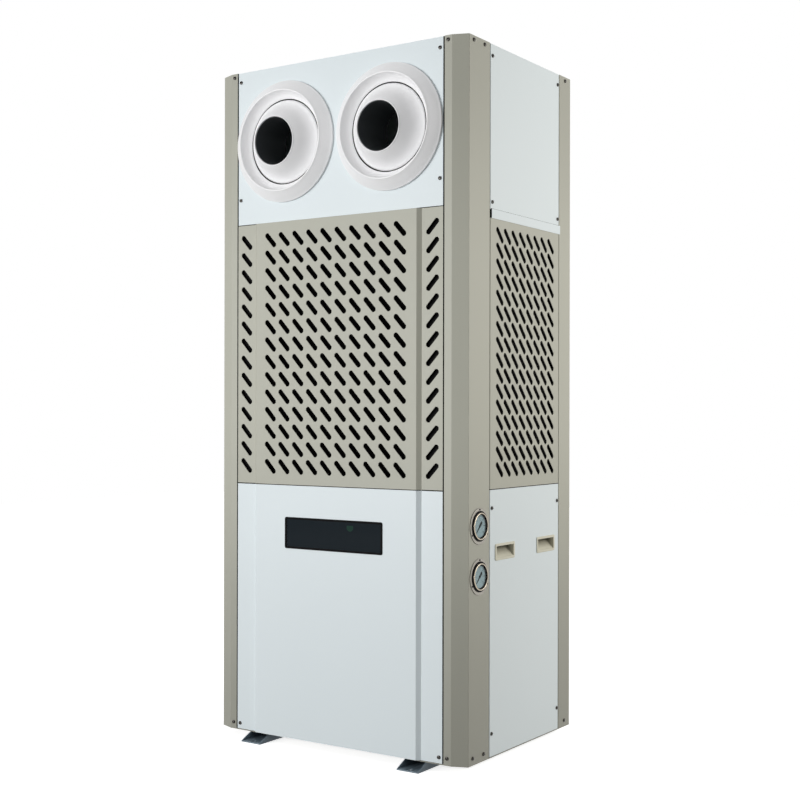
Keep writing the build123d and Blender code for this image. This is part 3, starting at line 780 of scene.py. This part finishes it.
class CABINET_OT_display(bpy.types.Operator):
    """Rounds the display frame and finishes its lens"""

    bl_idname = "cabinet.display"
    bl_label = "Display"

    def execute(self, context):
        low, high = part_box("display_frame")
        wider, taller = 3 * MM, 2.5 * MM
        corner, thickness, border, edge = 5 * MM, 1.4 * MM, 5.6 * MM, 0.4 * MM
        bpy.ops.object.select_all(action="DESELECT")
        bpy.ops.mesh.primitive_plane_add(size=1)
        ring = bpy.context.object
        ring.name = ring.data.name = "display_frame_moulding"
        ring.scale = (high.x - low.x + wider, high.z - low.z + taller, 1)
        bpy.ops.object.transform_apply(location=True, rotation=True, scale=True)
        bpy.ops.object.mode_set(mode="EDIT")
        bpy.ops.mesh.select_all(action="SELECT")
        bpy.ops.mesh.bevel(offset=corner, segments=6, affect="VERTICES")
        bpy.ops.mesh.select_all(action="SELECT")
        bpy.ops.mesh.extrude_region_move(TRANSFORM_OT_translate={"value": (0, 0, thickness)})
        bpy.ops.mesh.select_mode(type="FACE")
        bpy.ops.mesh.select_all(action="DESELECT")
        bpy.ops.object.mode_set(mode="OBJECT")
        # Front and back faces, with a window cut through both
        for face in ring.data.polygons:
            face.select = abs(face.normal.z) > 0.9
        bpy.ops.object.mode_set(mode="EDIT")
        bpy.ops.mesh.inset(thickness=border)
        bpy.ops.mesh.bridge_edge_loops()
        bpy.ops.mesh.select_all(action="SELECT")
        bpy.ops.mesh.normals_make_consistent(inside=False)
        bpy.ops.mesh.select_mode(type="VERT")
        bpy.ops.object.mode_set(mode="OBJECT")
        rounded(ring, edge)
        placed(ring, (0, RAISED, (low.z + high.z) / 2), (RIGHT_ANGLE, 0, 0))
        settled(ring, black_polypropylene(), replaces=["display_frame"])
        paint(smoked_acrylic(), "display_lens")
        return {"FINISHED"}


class CABINET_OT_handles(bpy.types.Operator):
    """Rounds the edges of the pull handles"""

    bl_idname = "cabinet.handles"
    bl_label = "Pull handles"

    def execute(self, context):
        for side in ("right", "left"):
            for end in ("front", "rear"):
                source = side + "_" + end + "_handle"
                piece = softened(source, source + "_moulding", sizes().soft_edge)
                settled(piece, handle_abs(), replaces=[source])
        return {"FINISHED"}


class CABINET_OT_gauges(bpy.types.Operator):
    """Turns the gauge cases and prints their dials"""

    bl_idname = "cabinet.gauges"
    bl_label = "Pressure gauges"

    def execute(self, context):
        # Outlines are radius and height over the post, in millimetres
        steps = sizes().ring_steps // 2
        flange = [(34.5, 0.05), (44.6, 0.05), (45, 0.5), (45, 1.5), (44.4, 2.0), (37.6, 2.1), (34.5, 2.1)]
        can = [
            (2, 0.4), (28.2, 0.4), (28.2, 3.8), (29.5, 3.8), (29.8, 6.6), (32.6, 6.2), (32.8, 4.3),
            (37.0, 4.0), (37.8, 3.2), (37.8, 2.0), (34, 1.8), (34, -28), (2, -28),
        ]
        bezel = arc((31.9, 5.4), 1.9, -5, 100, 6)
        bezel += arc((31.4, 6.1), 1.2, 100, 190, 4)
        bezel += [(30.3, 5.7), (32.8, 4.7)]
        brushed = stainless("stainless_brushed", palette().flange_steel, roughness=0.4)
        polished = stainless("stainless_polished", palette().bezel_steel, roughness=0.2)
        facing = (0, RIGHT_ANGLE, 0)
        for which, centre in GAUGES.items():
            ring = placed(turned(which + "_gauge_flange", metres(flange), steps), centre, facing)
            settled(ring, brushed, replaces=[which + "_gauge_case"])
            body = capped(turned(which + "_gauge_can", metres(can), steps, closed=False))
            settled(placed(body, centre, facing), black_polypropylene())
            rim = placed(turned(which + "_gauge_bezel", metres(bezel), steps), centre, facing)
            settled(rim, polished)
            paint(printed_dial(which), which + "_gauge_dial")
            paint(gauge_glass(), which + "_gauge_glass")
            figures = joined(which + "_dial_figures", [self.figure(centre, i) for i in range(7)])
            settled(figures, printing_ink())
        return {"FINISHED"}

    def figure(self, centre, count):
        """One figure of a dial: they count up by five, clockwise from the lower left, 45 degrees apart."""
        height, ring, lift, film = 4.2 * MM, 18.6 * MM, 1.55 * MM, 0.03 * MM
        angle = math.radians(225 - 45 * count)
        bpy.ops.object.select_all(action="DESELECT")
        bpy.ops.object.text_add()
        text = bpy.context.object
        text.data.body = str(5 * count)
        text.data.size = height
        text.data.align_x = text.data.align_y = "CENTER"
        text.data.extrude = film
        bpy.ops.object.convert(target="MESH")
        spot = centre + Vector((lift, ring * math.cos(angle), ring * math.sin(angle)))
        return placed(text, spot, (RIGHT_ANGLE, 0, RIGHT_ANGLE))


class CABINET_OT_needles(bpy.types.Operator):
    """Shapes the gauge needles"""

    bl_idname = "cabinet.needles"
    bl_label = "Gauge needles"

    def execute(self, context):
        tail_length, tail_width, thickness = 12.4 * MM, 6.4 * MM, 0.5 * MM
        tail_middle, level = -8 * MM, 2.3 * MM
        hub_outline = [(3.4, 1.5), (3.4, 2.7), (2.9, 3.1), (1.6, 3.4), (0.3, 3.5)]
        hub_steps = 32
        start = math.radians(225)
        for which, centre in GAUGES.items():
            pointer = block((tail_middle, 0, level), (tail_length, tail_width, thickness))
            mesh = pointer.data
            # Waist and point, each with its share of the width before it
            for stop, width in ((-1.5 * MM, 0.6), (22 * MM, 0.4)):
                bpy.ops.object.mode_set(mode="EDIT")
                bpy.ops.mesh.select_mode(type="FACE")
                bpy.ops.mesh.select_all(action="DESELECT")
                bpy.ops.object.mode_set(mode="OBJECT")
                tip = max(mesh.polygons, key=lambda face: face.center.x)
                tip.select = True
                reach = stop - tip.center.x
                bpy.ops.object.mode_set(mode="EDIT")
                bpy.ops.mesh.extrude_region_move(TRANSFORM_OT_translate={"value": (reach, 0, 0)})
                bpy.ops.transform.resize(value=(1, width, 1), center_override=(stop, 0, level))
                bpy.ops.mesh.select_mode(type="VERT")
                bpy.ops.object.mode_set(mode="OBJECT")
            hub = capped(turned(which + "_needle_hub", metres(hub_outline), hub_steps, closed=False))
            piece = joined(which + "_needle_pressing", [pointer, hub])
            placed(piece, (0, 0, 0), (0, 0, start))
            placed(piece, centre, (RIGHT_ANGLE, 0, RIGHT_ANGLE))
            settled(
                piece, black_polypropylene(), which + "_needle", [which + "_gauge_needle"],
            )
        return {"FINISHED"}


class CABINET_OT_seals(bpy.types.Operator):
    """Lays black rubber strips in the joints between the panels and the posts, which also paint the joints'
    shade, and black bars that paint the shadow at the side panels' crease and notch
    """

    bl_idname = "cabinet.seals"
    bl_label = "Panel seals"

    def execute(self, context):
        upper, grille, lower = (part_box("front_" + name) for name in ("upper_panel", "grille", "lower_panel"))
        side_upper, side_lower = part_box("right_upper_panel"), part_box("right_lower_panel")
        slack, lap = 0.2 * MM, 0.6 * MM
        deep, shelf, raised_deep = 12 * MM, 10 * MM, 9 * MM
        margin, slope = 72 * MM, 11 * MM
        crease_height, crease_inset = 2.8 * MM, 2 * MM
        # How far each strip stands out of its panel, or lies back where it is below zero
        post_out, margin_out, raised_out, head_out = 0.3 * MM, 0.2 * MM, 0.1 * MM, -1.5 * MM
        edge_out, joint_out, crease_out, notch_out = -2.5 * MM, -0.4 * MM, 0.8 * MM, 0.9 * MM
        top, foot = upper[1].z, lower[0].z
        edge = upper[1].x
        raised = edge - margin
        joint = (lower[1].z + slack, grille[0].z - slack)

        # Low and high corners of each strip
        by_post = (edge - lap, FRONT - post_out, foot), (edge + PANEL_GAP + lap, FRONT + deep, top)
        by_margin = (
            (raised + slope, FRONT - margin_out, joint[0] - lap), (edge, FRONT + shelf, joint[1] + lap),
        )
        front = [
            by_post, self.mirrored(*by_post),
            ((-raised, RAISED - raised_out, joint[0]), (raised, RAISED + raised_deep, joint[1])),
            by_margin, self.mirrored(*by_margin),
            ((-edge, FRONT - head_out, grille[1].z + slack), (edge, FRONT + shelf, upper[0].z - slack)),
        ]
        near, far = side_lower[0].y, side_lower[1].y
        notch = near + side_upper[1].y - far
        inner, outer, behind = SIDE - deep, SIDE + edge_out, SIDE - 2 * MM
        side = [
            ((inner, near - PANEL_GAP + slack, foot), (outer, near - slack, top)),
            ((inner, far + slack, foot), (outer, far + PANEL_GAP - slack, top)),
            ((inner, near, joint[0]), (SIDE + joint_out, far, joint[1])),
            # A black bar that stands out below the crease paints the shadow under the lapped strip
            (
                (behind, near + crease_inset, CREASE),
                (SIDE + crease_out, far - crease_inset, CREASE + crease_height),
            ),
            # A black block that stands out in the notch paints the notch's shadow
            (
                (behind, near - PANEL_GAP, side_upper[0].z),
                (SIDE + notch_out, notch - slack, grille[1].z + PANEL_GAP),
            ),
        ]
        groups = (("front_seal_shade_strips", front, 1), ("right_seal_shade_strips", side, 1), ("left_seal_shade_strips", side, -1))
        for name, corners, flip in groups:
            bars = [self.bar(Vector(low), Vector(high), flip) for low, high in corners]
            settled(joined(name, bars), seal_rubber())
        return {"FINISHED"}

    def mirrored(self, low, high):
        """The corners of the same strip on the left."""
        return (-high[0], *low[1:]), (-low[0], *high[1:])

    def bar(self, low, high, flip):
        """A strip between two corners, on the right or flipped to the left."""
        edge = 0.3 * MM
        middle = (low + high) / 2
        strip = block((flip * middle.x, middle.y, middle.z), high - low)
        bpy.ops.object.mode_set(mode="EDIT")
        bpy.ops.mesh.select_all(action="SELECT")
        bpy.ops.mesh.bevel(offset=edge, segments=2)
        bpy.ops.object.mode_set(mode="OBJECT")
        return strip


class CABINET_OT_screws(bpy.types.Operator):
    """Models one pan head screw and sets its copies"""

    bl_idname = "cabinet.screws"
    bl_label = "Screws"

    def execute(self, context):
        head = self.pan_head()
        upper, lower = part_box("front_upper_panel"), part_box("front_lower_panel")
        side_upper, side_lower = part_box("right_upper_panel"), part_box("right_lower_panel")
        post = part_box("front_right_post")
        post_ends = [post[1].z - 11 * MM, post[0].z + 16 * MM]
        inset, side_inset, corner = 10 * MM, 9 * MM, 30 * MM
        sides = (-1, 1)

        # Front: on the edges of the panels and in the middle of the posts' front flanges
        edge = upper[1].x - inset
        bevel_start = 352 * MM
        flange = (upper[1].x + PANEL_GAP + bevel_start) / 2
        rows = (upper[1].z - 26 * MM, upper[0].z + 67 * MM, lower[0].z + 15 * MM)
        front = [(s * edge, z) for s in sides for z in rows]
        front += [(s * flange, z) for s in sides for z in post_ends]

        # Sides: on the edges of the panels, two on each front post and one on each rear post
        near, far = side_lower[0].y + side_inset, side_lower[1].y - side_inset
        bend = post[0].y + 16 * MM
        rear = (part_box("rear_right_post")[1].y + side_lower[1].y + PANEL_GAP) / 2
        rows = (
            side_upper[1].z - 29 * MM, CREASE + 19 * MM, side_lower[1].z - 45 * MM, side_lower[0].z + 57 * MM,
        )
        side = [(y, z) for y in (near, far) for z in rows]
        side += [(y, z) for y in (bend + 20 * MM, bend + 72 * MM, rear) for z in post_ends]

        # Back: in the corners of the panels and on the posts
        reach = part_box("back_upper_panel")[1].x - inset
        panels = [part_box("back_" + storey + "_panel") for storey in ("upper", "middle", "lower")]
        rows = [z for low, high in panels for z in (low.z + corner, high.z - corner)]
        back = [(s * reach, z) for s in sides for z in rows]
        back += [(s * (reach + 45 * MM), z) for s in sides for z in post_ends]

        groups = {
            "front_screws": [((x, FRONT, z), (RIGHT_ANGLE, 0, 0)) for x, z in front],
            "right_screws": [((SIDE, y, z), (0, RIGHT_ANGLE, 0)) for y, z in side],
            "left_screws": [((-SIDE, y, z), (0, -RIGHT_ANGLE, 0)) for y, z in side],
            "back_screws": [((x, REAR, z), (-RIGHT_ANGLE, 0, 0)) for x, z in back],
        }
        ring, lift = 41 * MM, 2.0 * MM
        for which, centre in GAUGES.items():
            turns = [math.radians(degrees) for degrees in (90, 210, 330)]
            spots = [centre + Vector((lift, ring * math.cos(a), ring * math.sin(a))) for a in turns]
            groups[which + "_gauge_screws"] = [(spot, (0, RIGHT_ANGLE, 0)) for spot in spots]

        # Each screw stops at an angle of its own
        ratio = sizes().gauge_screw_head / sizes().screw_head
        twist = math.radians(37)
        for name, places in groups.items():
            copies = []
            for i, (place, turn) in enumerate(places):
                screw = copied(head, name)
                if "gauge" in name:
                    screw.scale = (ratio, ratio, ratio)
                placed(screw, (0, 0, 0), (0, 0, twist * i))
                copies.append(placed(screw, place, turn))
            settled(joined(name, copies), blackened_steel())
        bpy.data.objects.remove(head)
        return {"FINISHED"}

    def pan_head(self):
        """A domed head with a cross recess, standing on the floor at the origin."""
        half, rise = sizes().screw_head / 2, sizes().screw_rise
        steps = 24
        dome = ((1, 0), (1, 0.35), (0.96, 0.62), (0.86, 0.82), (0.7, 0.93), (0.4, 0.985), (0.12, 1))
        rings = [(r * half, h * rise) for r, h in dome]
        head = capped(turned("pan_head", rings, steps, closed=False))
        for turn in (0.0, RIGHT_ANGLE):
            blade = block((0, 0, rise), (0.9 * half, 0.16 * half, 0.9 * rise), turn)
            alone(head)
            cut = head.modifiers.new("cross", "BOOLEAN")
            cut.operation = "DIFFERENCE"
            cut.object = blade
            bpy.ops.object.modifier_apply(modifier=cut.name)
            bpy.data.objects.remove(blade)
        alone(head)
        bpy.ops.object.shade_smooth_by_angle(angle=SMOOTH_ANGLE)
        return head


class CABINET_OT_stage(bpy.types.Operator):
    """Sets the floor, the softboxes, the room light and the camera"""

    bl_idname = "cabinet.stage"
    bl_label = "Stage"

    def execute(self, context):
        scene = context.scene
        stage = scene.cabinet_stage
        scene.view_settings.view_transform = "Standard"

        bpy.ops.object.select_all(action="DESELECT")
        bpy.ops.mesh.primitive_grid_add(x_subdivisions=8, y_subdivisions=8, size=stage.floor_size)
        floor = context.object
        floor.name = "floor"
        floor.data.materials.append(studio_floor())

        # Room: white where it is seen, dim where it lights
        room = bpy.data.worlds.new("studio_room")
        room.use_nodes = True
        tree = room.node_tree
        tree.nodes.clear()
        dim = node(tree, "ShaderNodeBackground", {"Color": (1, 1, 1, 1), "Strength": stage.ambient})
        white = node(tree, "ShaderNodeBackground", {"Color": (1, 1, 1, 1), "Strength": 1.0})
        both = node(tree, "ShaderNodeMixShader", {
            0: seen_directly(tree), 1: dim.outputs[0], 2: white.outputs[0],
        })
        node(tree, "ShaderNodeOutputWorld", {"Surface": both.outputs[0]})
        scene.world = room

        # Two wide softboxes: one left of the camera, one on the right, a little behind
        aim = Vector((0, 0, 1.0))
        for name, heading, away, height, wide, tall, power, tint in (
            ("left_softbox", -23, 6.4, 1.4, 3.6, 2.4, stage.left_lamp, linear("ffffff")),
            ("right_softbox", 118, 3.6, 1.5, 2.2, 1.8, stage.right_lamp, linear("fffcf6")),
        ):
            a = math.radians(heading)
            place = Vector((away * math.sin(a), -away * math.cos(a), height))
            bpy.ops.object.light_add(type="AREA", location=place)
            lamp = context.object
            lamp.name = name
            lamp.rotation_euler = (place - aim).to_track_quat("Z", "Y").to_euler()
            lamp.data.shape = "RECTANGLE"
            lamp.data.size, lamp.data.size_y = wide, tall
            lamp.data.energy = power
            lamp.data.color = tint[:3]
            lamp.visible_camera = False

        bpy.ops.object.camera_add(location=stage.camera_place)
        camera = context.object
        camera.rotation_euler = (RIGHT_ANGLE, stage.camera_roll, stage.camera_turn)
        camera.data.sensor_width = 36
        camera.data.lens = stage.lens
        camera.data.shift_y = stage.camera_rise
        camera.data.clip_end = 100
        scene.camera = camera
        return {"FINISHED"}


OPERATORS = (
    CABINET_OT_stage, CABINET_OT_sheet_metal, CABINET_OT_grilles, CABINET_OT_runners,
    CABINET_OT_nozzle_housings, CABINET_OT_nozzle_balls, CABINET_OT_display, CABINET_OT_handles,
    CABINET_OT_gauges, CABINET_OT_needles, CABINET_OT_seals, CABINET_OT_screws,
)


class CABINET_PT_pieces(bpy.types.Panel):
    """Lists the pieces of the air conditioner"""

    bl_label = "Air conditioner"
    bl_space_type = "VIEW_3D"
    bl_region_type = "UI"
    bl_category = "Air conditioner"

    def draw(self, context):
        for operator in OPERATORS:
            self.layout.operator(operator.bl_idname)


CLASSES = (CabinetSizes, CabinetColours, CabinetStage, *OPERATORS, CABINET_PT_pieces)


def register():
    for item in CLASSES:
        bpy.utils.register_class(item)
    bpy.types.Scene.cabinet_sizes = PointerProperty(type=CabinetSizes)
    bpy.types.Scene.cabinet_colours = PointerProperty(type=CabinetColours)
    bpy.types.Scene.cabinet_stage = PointerProperty(type=CabinetStage)


def unregister():
    del bpy.types.Scene.cabinet_sizes, bpy.types.Scene.cabinet_colours, bpy.types.Scene.cabinet_stage
    for item in reversed(CLASSES):
        bpy.utils.unregister_class(item)


def main():
    register()
    bpy.ops.cabinet.stage()
    bpy.ops.cabinet.sheet_metal()
    bpy.ops.cabinet.grilles()
    bpy.ops.cabinet.runners()
    bpy.ops.cabinet.nozzle_housings()
    bpy.ops.cabinet.nozzle_balls()
    bpy.ops.cabinet.display()
    bpy.ops.cabinet.handles()
    bpy.ops.cabinet.gauges()
    bpy.ops.cabinet.needles()
    bpy.ops.cabinet.seals()
    bpy.ops.cabinet.screws()


if __name__ == "__main__":
    main()
